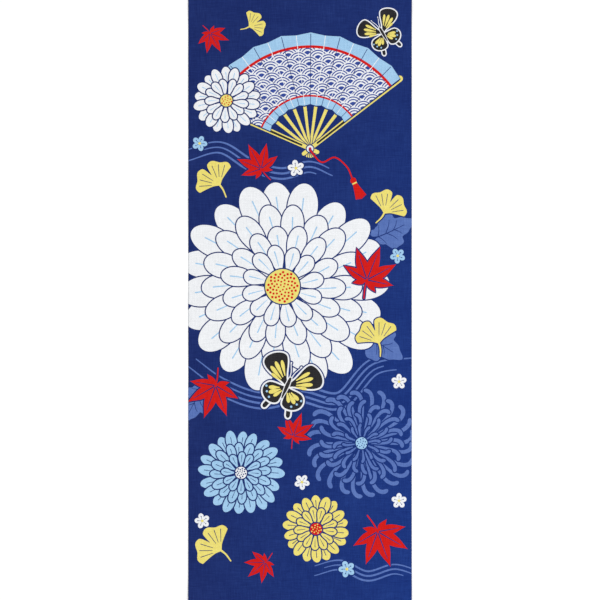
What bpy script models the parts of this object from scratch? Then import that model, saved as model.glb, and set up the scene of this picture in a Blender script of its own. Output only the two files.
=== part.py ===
"""Tenugui towel: one cut length of plain-woven cotton, lying flat and face up.

Metres, +Z up. The origin is at the middle of the underside, on the surface the cloth lies on.
X runs across the cloth from selvedge to selvedge, and Y along it from one cut end to the other,
with +Y towards the top of the printed design.

The cloth is one piece. Its long sides are selvedges, where the weft turns back round the last
warp thread, so they are rounded. Its short ends are cut across and left unhemmed, so they are
square. Nothing is sewn to it.
"""

import math

import bmesh
import bpy

CLOTH_WIDTH = 0.334  # selvedge to selvedge
CLOTH_LENGTH = 0.900  # cut end to cut end
CLOTH_THICKNESS = 0.001  # a stored sheet's least thickness; the bare cloth is about 0.4 mm
SELVEDGE_STEPS = 8  # flats round each turned edge

COTTON_NAVY = (0.014, 0.031, 0.153, 1.0)  # linear colour of the dyed ground
COTTON_ROUGHNESS = 0.85


def clear_scene():
    """Removes whatever objects the file opened with."""
    for thing in list(bpy.data.objects):
        bpy.data.objects.remove(thing)


def cotton_material():
    """The dyed cotton of the towel's ground."""
    material = bpy.data.materials.new("dyed_cotton")
    material.use_nodes = True
    shader = material.node_tree.nodes["Principled BSDF"]
    shader.inputs["Base Color"].default_value = COTTON_NAVY
    shader.inputs["Roughness"].default_value = COTTON_ROUGHNESS
    shader.inputs["Metallic"].default_value = 0.0
    material.diffuse_color = COTTON_NAVY
    return material


def selvedge_arc(side):
    """(x, z) points round one turned edge: side 1 runs up the right edge, side -1 down the left."""
    radius = CLOTH_THICKNESS / 2
    centre_x = side * (CLOTH_WIDTH / 2 - radius)
    points = []
    for step in range(SELVEDGE_STEPS + 1):
        angle = math.pi * step / SELVEDGE_STEPS - math.pi / 2
        x = centre_x + side * radius * math.cos(angle)
        z = radius + side * radius * math.sin(angle)
        points.append((x, z))
    return points


def cloth_mesh():
    """The cloth's section, flat between two turned edges, extruded from one cut end to the other."""
    section = selvedge_arc(1) + selvedge_arc(-1)
    shape = bmesh.new()
    start = -CLOTH_LENGTH / 2
    ring = [shape.verts.new((x, start, z)) for x, z in section]
    end_face = shape.faces.new(ring)
    grown = bmesh.ops.extrude_face_region(shape, geom=[end_face], use_keep_orig=True)
    far_ring = [item for item in grown["geom"] if isinstance(item, bmesh.types.BMVert)]
    bmesh.ops.translate(shape, verts=far_ring, vec=(0, CLOTH_LENGTH, 0))
    bmesh.ops.recalc_face_normals(shape, faces=shape.faces)
    mesh = bpy.data.meshes.new("cloth")
    shape.to_mesh(mesh)
    shape.free()
    mesh.shade_smooth()
    mesh.set_sharp_from_angle(angle=math.radians(40))
    return mesh


def main():
    """Builds the towel: its one piece of cloth."""
    clear_scene()
    cloth = bpy.data.objects.new("cloth", cloth_mesh())
    cloth.data.materials.append(cotton_material())
    bpy.context.scene.collection.objects.link(cloth)


main()
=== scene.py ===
"""Looks of a tenugui towel: a cut length of printed, plain-woven cotton that lies flat, face up.

The frame is in metres: X runs across the cloth from selvedge to selvedge, Y along it towards the
top of the design, and Z up. The print is laid out in millimetres from the middle of the cloth, as
flat patches of dye, each over the ones before it. The cloth is then cut into faces along every
edge where two dyes meet, so that the edges of the print are edges of the mesh.
"""

import logging
import math
from dataclasses import dataclass, field, replace
from enum import Enum
from typing import Any, Callable, Iterator, Protocol, Sequence

import bpy
import numpy as np
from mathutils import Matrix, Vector
from mathutils.geometry import delaunay_2d_cdt


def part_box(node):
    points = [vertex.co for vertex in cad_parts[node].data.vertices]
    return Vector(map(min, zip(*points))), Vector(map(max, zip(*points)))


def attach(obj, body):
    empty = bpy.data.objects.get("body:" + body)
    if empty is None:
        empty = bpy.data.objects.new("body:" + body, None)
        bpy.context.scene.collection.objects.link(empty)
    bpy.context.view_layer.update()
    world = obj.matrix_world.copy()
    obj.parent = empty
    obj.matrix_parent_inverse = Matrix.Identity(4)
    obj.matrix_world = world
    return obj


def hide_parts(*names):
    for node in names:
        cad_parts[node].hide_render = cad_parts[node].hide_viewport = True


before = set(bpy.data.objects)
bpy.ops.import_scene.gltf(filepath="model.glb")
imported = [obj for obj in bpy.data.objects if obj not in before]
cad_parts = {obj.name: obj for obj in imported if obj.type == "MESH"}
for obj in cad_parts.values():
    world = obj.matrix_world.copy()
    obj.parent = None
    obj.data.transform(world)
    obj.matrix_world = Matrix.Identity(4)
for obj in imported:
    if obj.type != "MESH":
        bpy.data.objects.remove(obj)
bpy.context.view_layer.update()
LOG = logging.getLogger("tenugui")

MM = 0.001
LIGHT_LEVEL = 1.105  # what the studio's light makes of a surface's own brightness
SURFACE_GLOSS = 0.0031  # what the cloth's surface sends back by itself, whatever its dye
DARKEST = 0.001  # the least that is left of a colour once both are taken off
GOLDEN_TURN = 180 * (3 - math.sqrt(5))

THREAD_PITCH = 0.45  # from one thread of the plain weave to the next, both ways
HALO = 1.8  # the line of ground kept clear round a shape that lies over another
KNIFE = 0.25  # how far an edge cut by hand wanders from its true line
FINE_KNIFE = 0.1  # and one that is cut with more care
DRIFT_WAVES = (2, 3, 5)  # how many times it wanders out and in again on its way round
LEAST_DRIFT = 0.3  # the least that each of these waves may be, as a share of the most

CURVE_POINTS = 65  # along an arc or one side of a petal, before those it doesn't need are dropped
SPAN_POINTS = 12  # along a stroke, for each span between two of the points it goes through
CAP_TURNS = np.radians(np.arange(-75, 90, 15))[:, None]  # the points round a stroke's end, as angles
EDGE_TOLERANCE = 0.03  # how far an edge may lie off its true curve between two of its points
CORNER_BEND = 0.5  # an outline that bends by more than this at one point has a corner there
CORNERS = ((-1, -1), (1, -1), (1, 1), (-1, 1))  # of the cloth, from the lower left one round

Outline = np.ndarray  # a closed run of (x, y) points, anticlockwise
Route = tuple[tuple[float, float], ...]


class Dye(Enum):
    """The colours of the cloth as they look in daylight: red, green and blue from 0 to 255."""

    NAVY = (32, 46, 102)
    WHITE = (240, 242, 245)
    RED = (209, 33, 29)
    YELLOW = (237, 222, 120)
    PALE_BLUE = (162, 203, 236)
    MID_BLUE = (91, 117, 182)
    INDIGO = (58, 78, 154)
    CHARCOAL = (47, 46, 49)

    @property
    def linear(self) -> np.ndarray:
        """The cloth's own colour in linear light."""
        return linear_colour(self.value)


def linear_colour(shown: Sequence[float]) -> np.ndarray:
    """Turns a colour as it shows under the studio's light into the surface's own linear colour.

    Args:
        shown: Red, green and blue from 0 to 255.

    Returns:
        The three linear values.
    """
    share = np.asarray(shown, float) / 255
    linear = np.where(share <= 0.04045, share / 12.92, ((share + 0.055) / 1.055) ** 2.4)  # as in sRGB
    return np.maximum(linear / LIGHT_LEVEL - SURFACE_GLOSS, DARKEST)


# Outlines ------------------------------------------------------------------------------------


def ray(degrees: float) -> np.ndarray:
    """The unit vector at an angle anticlockwise from +X."""
    return np.array([math.cos(math.radians(degrees)), math.sin(math.radians(degrees))])


def arc(start: float, end: float) -> np.ndarray:
    """Points along an arc of the unit circle, between two angles in degrees."""
    turn = np.radians(np.linspace(start, end, CURVE_POINTS))
    return np.stack([np.cos(turn), np.sin(turn)], 1)


def disc(radius: float, centre: Sequence[float] = (0.0, 0.0)) -> Outline:
    """A round outline."""
    return arc(0, 360)[:-1] * radius + centre


def sector(inner: float, outer: float, start: float, end: float) -> Outline:
    """A slice of a ring between two radii and two angles, or of a disc where the first is 0."""
    return np.concatenate([arc(start, end) * outer, arc(end, start)[:None if inner else 1] * inner])


def curve_through(points: Sequence[Sequence[float]], count: int) -> np.ndarray:
    """A smooth open curve through a few points.

    Args:
        points: The points it goes through.
        count: How many points to give back.

    Returns:
        Points along the curve.
    """
    given = np.asarray(points, float)
    ends = 2 * given[0] - given[1], 2 * given[-1] - given[-2]
    knots = np.concatenate([ends[:1], given, ends[1:]])
    spans = len(given) - 1
    place = np.linspace(0, spans, count)
    first = np.minimum(place.astype(int), spans - 1)
    t = (place - first)[:, None]
    a, b, c, d = (knots[first + i] for i in range(4))
    return 0.5 * (2 * b + (c - a) * t + (2 * a - 5 * b + 4 * c - d) * t**2 + (3 * (b - c) + d - a) * t**3)


def side_of(line: np.ndarray) -> np.ndarray:
    """Finds which way is right of an open line at each of its points.

    Args:
        line: The points of the line.

    Returns:
        The unit vectors to the right.
    """
    along = np.gradient(line, axis=0)
    along /= np.maximum(np.linalg.norm(along, axis=1, keepdims=True), 1e-9)
    return np.stack([along[:, 1], -along[:, 0]], 1)


def stroke(points: Sequence[Sequence[float]], first: float, last: float, belly: float = 0.0) -> Outline:
    """A brush stroke with round ends.

    Args:
        points: The points that its middle line goes through.
        first: Its width where it starts.
        last: Its width where it ends.
        belly: How much wider it is half way.

    Returns:
        The outline.
    """
    middle = curve_through(points, SPAN_POINTS * (len(points) - 1) + 1)
    share = np.linspace(0, 1, len(middle))
    half = (first + (last - first) * share + belly * np.sin(math.pi * share)) / 2
    right = side_of(middle) * half[:, None]
    caps = [
        middle[end] - np.sin(CAP_TURNS) * out + np.cos(CAP_TURNS) * out[::-1] * (-1, 1)
        for end, out in ((-1, right[-1]), (0, -right[0]))
    ]
    return np.concatenate([middle + right, caps[0], (middle - right)[::-1], caps[1]])


def widened(outline: Outline, by: float) -> Outline:
    """Moves every point of an outline outwards.

    Args:
        outline: A closed outline.
        by: How far its points move.

    Returns:
        The wider outline.
    """
    edge = np.roll(outline, -1, 0) - np.roll(outline, 1, 0)
    out = np.stack([edge[:, 1], -edge[:, 0]], 1)
    return outline + by * out / np.maximum(np.linalg.norm(out, axis=1, keepdims=True), 1e-9)


def thinned(outline: Outline) -> Outline:
    """Keeps only the points that an outline's shape needs, which lie closer where it bends more.

    Args:
        outline: A closed outline.

    Returns:
        The outline through the points that are left.
    """
    ahead = np.roll(outline, -1, 0) - outline
    way = np.arctan2(ahead[:, 1], ahead[:, 0])
    bend = np.abs((way - np.roll(way, 1) + math.pi) % (2 * math.pi) - math.pi)
    length = np.hypot(*ahead.T)
    rise = bend * (length + np.roll(length, 1)) / 16  # of the arc at each point over its chord
    need = np.sqrt(rise / EDGE_TOLERANCE)
    kept = np.diff(np.floor(np.cumsum(need)), prepend=-1) > 0
    return outline[kept | (bend > CORNER_BEND)]


def encloses(outline: Outline, places: np.ndarray) -> np.ndarray:
    """Says which places an outline goes round.

    Args:
        outline: The outline.
        places: Points on the cloth.

    Returns:
        True or False for each point.
    """
    start, end = outline, np.roll(outline, -1, 0)
    x, y = places[:, :1], places[:, 1:]
    rises = (start[:, 1] <= y) & (end[:, 1] > y)
    falls = (start[:, 1] > y) & (end[:, 1] <= y)
    left = (end - start)[:, 0] * (y - start[:, 1]) - (x - start[:, 0]) * (end - start)[:, 1]
    return (rises & (left > 0)).sum(1) != (falls & (left < 0)).sum(1)


@dataclass(frozen=True)
class Spot:
    """A place on the cloth: where it is, its turn anticlockwise in degrees, and its size."""

    x: float = 0.0
    y: float = 0.0
    turn: float = 0.0
    size: float = 1.0

    def put(self, outline: Outline) -> Outline:
        """The outline moved to this place."""
        axes = np.stack([ray(self.turn), ray(self.turn + 90)])
        return np.asarray(outline) * self.size @ axes + (self.x, self.y)


# The stencil that the dyes go through --------------------------------------------------------


@dataclass(frozen=True)
class Shape:
    """One shape of a motif.

    outlines: What it is cut as. Where they overlap, they show as one.
    wander: How far its edge wanders from its true line, in millimetres of cloth.
    halo: The width of ground kept clear round it, in millimetres of cloth.
    within: The outline that it is kept inside, if any.
    """

    dye: Dye
    outlines: Sequence[Outline]
    wander: float = 0.0
    halo: float = 0.0
    within: Outline | None = None


class Motif(Protocol):
    """A motif of the print, in its own place and size."""

    def shapes(self) -> Iterator[Shape]:
        """Draws its shapes, from the lowest one up."""


@dataclass(frozen=True)
class Patch:
    """One cut of one dye on the cloth. Where it lies within another outline, only that much shows."""

    dye: Dye
    outline: Outline
    within: Outline | None = None


@dataclass
class Stencil:
    """The patches of the print in the order in which they are laid on the navy ground."""

    seed: int
    patches: list[Patch] = field(default_factory=list)

    def __post_init__(self) -> None:
        """Starts the seeded draws that the unevenness of the edges comes from."""
        self.chance = np.random.default_rng(self.seed)

    def wandering(self, outline: Outline, amount: float) -> Outline:
        """The outline as a hand would cut it, a little off its true line.

        Args:
            outline: The true outline.
            amount: How far it wanders.

        Returns:
            The cut outline.
        """
        if amount <= 0:
            return outline
        steps = np.linalg.norm(np.roll(outline, -1, 0) - outline, axis=1)
        along = np.concatenate([[0], np.cumsum(steps)[:-1]]) / steps.sum()
        draw = self.chance
        drift = sum(
            draw.uniform(LEAST_DRIFT, 1) * np.sin(2 * math.pi * (waves * along + draw.random()))
            for waves in DRIFT_WAVES
        )
        return outline + (widened(outline, 1.0) - outline) * (amount * drift / 2)[:, None]

    def lay(self, motif: Motif, spot: Spot) -> None:
        """Lays a motif on top of the others.

        Args:
            motif: The motif.
            spot: Its place on the cloth.
        """
        for shape in motif.shapes():
            cuts = [self.wandering(spot.put(outline), shape.wander) for outline in shape.outlines]
            halos = [widened(cut, shape.halo) for cut in cuts if shape.halo > 0]
            within = None if shape.within is None else spot.put(shape.within)
            for dye, outlines in ((Dye.NAVY, halos), (shape.dye, cuts)):
                self.patches += [Patch(dye, thinned(outline), within) for outline in outlines]

    def dyes_at(self, places: np.ndarray) -> np.ndarray:
        """Finds the dye that shows at each place, which is that of the last patch laid there.

        Args:
            places: Points on the cloth.

        Returns:
            The dye's number in the order of Dye for each point.
        """
        number = {dye: i for i, dye in enumerate(Dye)}
        order = np.argsort(places[:, 0])
        across = places[order, 0]
        shown = np.zeros(len(places), int)
        for patch in self.patches:
            low, high = patch.outline.min(0), patch.outline.max(0)
            near = order[np.searchsorted(across, low[0]):np.searchsorted(across, high[0])]
            near = near[(places[near, 1] >= low[1]) & (places[near, 1] <= high[1])]
            for outline in (patch.outline, patch.within):
                if outline is not None:
                    near = near[encloses(outline, places[near])]
            shown[near] = number[patch.dye]
        return shown


# Motifs --------------------------------------------------------------------------------------


@dataclass(frozen=True)
class Petal:
    """A petal, or a lobe or wing of its kind, that grows up +Y and may then be turned.

    root: How far it starts from the middle of what it grows on.
    reach: How far out its tip would be if it didn't bend.
    waist: Its width at the root, as a share of its full width.
    shoulder: How far along it is widest, as a share of its length.
    point: 0.5 for a round tip, and more for a pointed one.
    bend: How far it has turned by its tip, in radians.
    hook: 1.4 for a petal that leans all along, and 5 for one that curls at its tip.
    turn: The turn of the whole petal, in degrees anticlockwise.
    foot: How far up +Y the point is that it is turned about.
    """

    root: float
    reach: float
    width: float
    waist: float = 0.2
    shoulder: float = 0.7
    point: float = 0.5
    bend: float = 0.2
    hook: float = 1.4
    turn: float = 0.0
    foot: float = 0.0

    @property
    def mirrored(self) -> "Petal":
        """The same petal on the other side."""
        return replace(self, turn=-self.turn, bend=-self.bend)

    def spine(self) -> tuple[np.ndarray, np.ndarray]:
        """Follows its middle line, before it is turned, with more points towards a round tip.

        Returns:
            How far along the points are, from 0 to 1, and the points.
        """
        share = 1 - np.linspace(1, 0, CURVE_POINTS) ** (1 / self.point)
        lean = self.bend * share**self.hook
        ahead = np.stack([-np.sin(lean), np.cos(lean)], 1) * (self.reach - self.root)
        steps = np.diff(share, prepend=0)[:, None] * (ahead + np.roll(ahead, 1, 0)) / 2
        return share, np.cumsum(steps, 0) + (0, self.root)

    def outline(self) -> Outline:
        """Draws it: it swells from the waist to the shoulder, and then closes in to its tip.

        Returns:
            The outline.
        """
        share, middle = self.spine()
        rise = np.clip(share / self.shoulder, 0, 1)
        fall = np.clip((share - self.shoulder) / (1 - self.shoulder), 0, 1)
        half = (self.waist + (1 - self.waist) * rise**2 * (3 - 2 * rise)) * (1 - fall**2) ** self.point
        right = side_of(middle) * half[:, None] * self.width / 2
        outline = np.concatenate([middle + right, (middle - right)[-2::-1]])
        return Spot(0, self.foot, self.turn).put(outline)

    def groove(self, start: float, end: float, width: float) -> Outline:
        """Draws a line down its middle.

        Args:
            start: Where the line starts, as a share of the petal's length.
            end: Where it ends.
            width: How wide it is at its end.

        Returns:
            The outline.
        """
        share, middle = self.spine()
        points = middle[np.searchsorted(share, np.linspace(start, end, 4))]
        return Spot(0, self.foot, self.turn).put(stroke(points, width * 0.4, width))


@dataclass(frozen=True)
class Heart:
    """The round middle of a flower, with its dots in a sunflower spiral.

    dot: The radius of a dot on its edge.
    smallest: That of the dot in its middle, as a share of the other.
    spread: How far out the dots go, as a share of its radius.
    """

    radius: float
    dye: Dye
    dot_dye: Dye
    dots: int
    dot: float = 1.5
    smallest: float = 0.6
    spread: float = 0.88

    def shapes(self) -> Iterator[Shape]:
        """Draws the disc, and then its dots.

        Yields:
            Its shapes, from the lowest one up.
        """
        yield Shape(self.dye, [disc(self.radius)], wander=KNIFE, halo=HALO)
        share = self.spread * np.sqrt((np.arange(self.dots) + 0.5) / self.dots)
        size = self.dot * (self.smallest + (1 - self.smallest) * share)
        yield Shape(self.dot_dye, [
            disc(size[number], ray(number * GOLDEN_TURN) * share[number] * self.radius)
            for number in range(self.dots)
        ])


@dataclass(frozen=True)
class Chrysanthemum:
    """A chrysanthemum in full face.

    rings: How many petals are in each ring, and what they are like, from the outermost ring in.
    grooved: Where the groove down each petal starts and ends, as shares of its length.
    astray: How far a petal may be turned from its even place, in degrees.
    uneven: How far its reach, width and bend may be off, as a share of each.
    """

    dye: Dye
    rings: tuple[tuple[int, Petal], ...]
    heart: Heart
    groove_dye: Dye | None = Dye.NAVY
    groove_width: float = 1.2
    grooved: tuple[float, float] = (0.3, 0.8)
    astray: float = 2.2
    uneven: tuple[float, float, float] = (0.035, 0.06, 0.25)
    seed: int = 1

    def shapes(self) -> Iterator[Shape]:
        """Draws each ring's back petals, then its front ones between them, and at last the heart.

        Yields:
            Its shapes, from the lowest one up.
        """
        chance = np.random.default_rng(self.seed)
        for count, even in self.rings:
            for place in [*range(0, count, 2), *range(1, count, 2)]:
                reach, width, bend = 1 + chance.uniform(-1, 1, 3) * self.uneven
                turn = even.turn + 360 * place / count + chance.uniform(-1, 1) * self.astray
                petal = replace(even, reach=even.reach * reach, width=even.width * width,
                                bend=even.bend * bend, turn=turn)
                yield Shape(self.dye, [petal.outline()], wander=KNIFE, halo=HALO)
                if self.groove_dye is not None:
                    yield Shape(self.groove_dye, [petal.groove(*self.grooved, self.groove_width)])
        yield from self.heart.shapes()


@dataclass(frozen=True)
class MapleLeaf:
    """A maple leaf with seven pointed lobes, the middle one a unit long.

    turns: The turn of each lobe, from the longest two or one to the shortest two.
    shortening: How much shorter than the middle lobe the last ones are.
    lobe_width: The middle lobe's width.
    veined: The first so many lobes have a vein.
    """

    dye: Dye = Dye.RED
    turns: tuple[float, ...] = (0, 40, -40, 80, -80, 124, -124)
    shortening: float = 0.58
    lobe_width: float = 0.34
    veined: int = 5

    def shapes(self) -> Iterator[Shape]:
        """Draws the lobes and stalk, and then the veins.

        Yields:
            Its shapes, from the lowest one up.
        """
        reach = [1 - self.shortening * (turn / self.turns[-1]) ** 2 for turn in self.turns]
        middle = Petal(0, 1, self.lobe_width, waist=0.3, shoulder=0.38, point=1.5, bend=0)
        lobes = [
            replace(middle, reach=far, width=middle.width * far**0.75, turn=turn)
            for turn, far in zip(self.turns, reach)
        ]
        stalk = stroke([(0, 0.02), (0.03, -0.22), (0.11, -0.5)], 0.05, 0.035)
        outlines = [*(lobe.outline() for lobe in lobes), stalk, disc(0.11, (0, 0.03))]
        yield Shape(self.dye, outlines, wander=0.12, halo=HALO)
        yield Shape(Dye.NAVY, [
            stroke([ray(turn + 90) * far * share for share in (0.06, 0.4, 0.76)], 0.034, 0.016)
            for turn, far in list(zip(self.turns, reach))[:self.veined]
        ])


@dataclass(frozen=True)
class GinkgoLeaf:
    """A fan-shaped ginkgo leaf, one unit from stalk to rim.

    spread: How far round its rim goes on each side of the middle, in degrees.
    cleft: How deep the cleft in the middle is, and how wide in degrees.
    ripple: How deep the waves of the rim are, and how many go into a whole turn.
    shoulders: How much lower the rim's two ends are.
    """

    dye: Dye = Dye.YELLOW
    spread: float = 72.0
    cleft: tuple[float, float] = (0.42, 4.0)
    ripple: tuple[float, int] = (0.05, 9)
    shoulders: float = 0.10
    veins: tuple[float, ...] = (-54, -36, -18, 18, 36, 54)

    def blade(self) -> Outline:
        """Draws the blade, whose sides sweep in to the stalk.

        Returns:
            The outline.
        """
        turn = np.linspace(self.spread, -self.spread, 3 * CURVE_POINTS)
        (depth, width), (height, waves) = self.cleft, self.ripple
        rim = 1 - height * np.cos(np.radians(turn * waves)) - depth * np.exp(-((turn / width) ** 2))
        rim -= self.shoulders * np.abs(turn / self.spread) ** 3
        far = np.stack([np.sin(np.radians(turn)), np.cos(np.radians(turn))], 1) * rim[:, None]
        left = curve_through([far[-1], (-0.52, 0.20), (-0.24, 0.115), (-0.05, 0.0)], CURVE_POINTS)[1:]
        return np.concatenate([far, left, left[::-1] * (-1, 1)])

    def shapes(self) -> Iterator[Shape]:
        """Draws the blade and stalk, and then the veins.

        Yields:
            Its shapes, from the lowest one up.
        """
        stalk = stroke([(0, 0.04), (-0.02, -0.25), (-0.12, -0.55)], 0.085, 0.05)
        yield Shape(self.dye, [self.blade(), stalk], wander=0.15, halo=HALO)
        yield Shape(Dye.NAVY, [
            stroke([ray(90 - turn) * share for share in (0.34, 0.6, 0.84)], 0.022, 0.03)
            for turn in self.veins
        ])


@dataclass(frozen=True)
class GardenLeaf:
    """A lobed chrysanthemum leaf, about 1.3 units long.

    egg: Its mean radius, how much more that is at its tip, and its width as a share of its length.
    lobes: How many broad lobes it has, and how deep they are.
    teeth: The same for its small teeth.
    veins: The foot of each pair of side veins, and how far across and up they reach from there.
    """

    dye: Dye = Dye.MID_BLUE
    egg: tuple[float, float, float] = (0.62, 0.26, 0.72)
    lobes: tuple[int, float] = (5, 0.13)
    teeth: tuple[int, float] = (13, 0.035)
    veins: tuple[tuple[float, float, float], ...] = (
        (0.15, 0.32, 0.16), (0.42, 0.34, 0.26), (0.68, 0.22, 0.20))

    def blade(self) -> Outline:
        """Draws the blade, egg-shaped but for its lobes and teeth.

        Returns:
            The outline.
        """
        turn = np.radians(np.linspace(-180, 180, 5 * CURVE_POINTS, endpoint=False))
        mean, more, narrow = self.egg
        out = mean + more * np.cos(turn)
        for count, depth in (self.lobes, self.teeth):
            out += depth * np.cos(count * turn)
        return np.stack([-narrow * np.sin(turn), np.cos(turn)], 1) * out[:, None] + (0, 0.35)

    def shapes(self) -> Iterator[Shape]:
        """Draws the blade, its midrib and the pairs of side veins.

        Yields:
            Its shapes, from the lowest one up.
        """
        yield Shape(self.dye, [self.blade()], wander=KNIFE, halo=HALO)
        lines = [stroke([(0, -0.1), (0.02, 0.5), (0, 1.05)], 0.035, 0.015)]
        for foot, across, up in self.veins:
            for x in (across, -across):
                lines.append(stroke([(0, foot), (x / 2, foot + up * 0.62), (x, foot + up)], 0.025, 0.012))
        yield Shape(Dye.NAVY, lines)


@dataclass(frozen=True)
class Swallowtail:
    """A swallowtail from above, its forewings one unit long. Its parts are those of the right side.

    rim: The width of the white line round its wings.
    wings: The tail, hindwing and forewing.
    cells: The turn, length and width of each yellow cell of the wings.
    cell_root: How far out a cell straight ahead would start.
    cell_step: How much further in one starts for each degree of its turn.
    hind: The cells turned further than this are on the hindwing.
    spots: The turns of the pale spots near the hindwing's edge.
    spot: How far out they are, and their radius.
    """

    rim: float = 0.045
    wings: tuple[Petal, ...] = (
        Petal(0, 0.86, 0.12, waist=0.5, shoulder=0.9, bend=-0.35, turn=-146),
        Petal(0, 0.66, 0.60, waist=0.16, shoulder=0.62, bend=-0.3, turn=-128, foot=-0.02),
        Petal(0, 0.98, 0.66, waist=0.12, shoulder=0.8, bend=0.25, turn=-52, foot=0.04),
    )
    cells: tuple[tuple[float, float, float], ...] = (
        (36, 0.44, 0.10), (50, 0.48, 0.11), (64, 0.46, 0.11), (76, 0.32, 0.09),
        (112, 0.30, 0.11), (129, 0.34, 0.12), (147, 0.28, 0.10))
    cell_root: float = 0.33
    cell_step: float = 0.00127
    hind: float = 90.0
    spots: tuple[float, ...] = (110, 126, 143)
    spot: tuple[float, float] = (0.56, 0.032)

    def cell(self, turn: float, length: float, width: float) -> Petal:
        """One cell, which starts further in the further back it is."""
        root, wing = self.cell_root - self.cell_step * turn, self.wings[1 if turn > self.hind else 2]
        return Petal(root, root + length, width, waist=0.3, bend=0, turn=-turn, foot=wing.foot)

    def shapes(self) -> Iterator[Shape]:
        """Draws the feelers, the wings with their white rims, the cells and spots, and the body.

        Yields:
            Its shapes, from the lowest one up.
        """
        cells = [self.cell(*cell) for cell in self.cells]
        wings, cells = (
            [one.outline() for petal in petals for one in (petal, petal.mirrored)]
            for petals in (self.wings, cells)
        )
        out, radius = self.spot
        feelers, spots = [], []
        for side in (1, -1):
            feeler = [(side * 0.02, 0.2), (side * 0.05, 0.42), (side * 0.15, 0.64)]
            feelers += [stroke(feeler, 0.03, 0.022), disc(0.03, (side * 0.155, 0.66))]
            spots += [disc(radius, ray(90 - side * turn) * out) for turn in self.spots]
        yield Shape(Dye.WHITE, feelers, halo=HALO)
        yield Shape(Dye.WHITE, [widened(wing, self.rim) for wing in wings], halo=HALO)
        for wing in wings:
            yield Shape(Dye.WHITE, [widened(wing, self.rim)])
            yield Shape(Dye.CHARCOAL, [wing], wander=FINE_KNIFE)
        yield Shape(Dye.YELLOW, cells)
        yield Shape(Dye.PALE_BLUE, spots)
        for dye, first, last in ((Dye.WHITE, 0.12, 0.07), (Dye.CHARCOAL, 0.07, 0.03)):
            yield Shape(dye, [stroke([(0, 0.25), (0, 0), (0, -0.33)], first, last, belly=0.05)])


@dataclass(frozen=True)
class WaveScales:
    """Rows of overlapping scales of nested arcs, the old pattern of a calm sea.

    rise: How much higher each row is than the one in front of it.
    bands: The inner and outer radius of each arc, as shares of the scale's own.
    eye: The radius of the slice in its middle, as such a share.
    ground: That of the white ground under both.
    arc_ends: The angles at which the arcs start and end.
    eye_ends: And those of the slice.
    overlap: How far the middle of the top row's scales is above the field, as a share of the rise.
    """

    radius: float = 14.5
    rise: float = 8.4
    dye: Dye = Dye.INDIGO
    bands: tuple[tuple[float, float], ...] = ((0.85, 0.97), (0.59, 0.71))
    eye: float = 0.42
    ground: float = 1.06
    arc_ends: tuple[float, float] = (10, 170)
    eye_ends: tuple[float, float] = (35, 145)
    overlap: float = 0.4

    def shapes(self, field_band: Outline) -> Iterator[Shape]:
        """Draws the scales that fill a band from its top row down, each row over the one above it.

        Args:
            field_band: The outline that they fill.

        Yields:
            Each scale's ground, and its arcs.
        """
        low, high = field_band.min(0), field_band.max(0)
        ground = sector(0, self.ground, 0, 180)
        marks = [sector(*band, *self.arc_ends) for band in self.bands]
        marks.append(sector(0, self.eye, *self.eye_ends))
        for row in range(int((high[1] - low[1]) / self.rise) + 3):
            first = low[0] - self.radius * (2 - row % 2)
            for x in np.arange(first, high[0] + self.radius, 2 * self.radius):
                scale = Spot(x, high[1] + self.rise * (self.overlap - row), size=self.radius)
                yield Shape(Dye.WHITE, [scale.put(ground)], within=field_band)
                yield Shape(self.dye, [scale.put(mark) for mark in marks], within=field_band)


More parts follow.
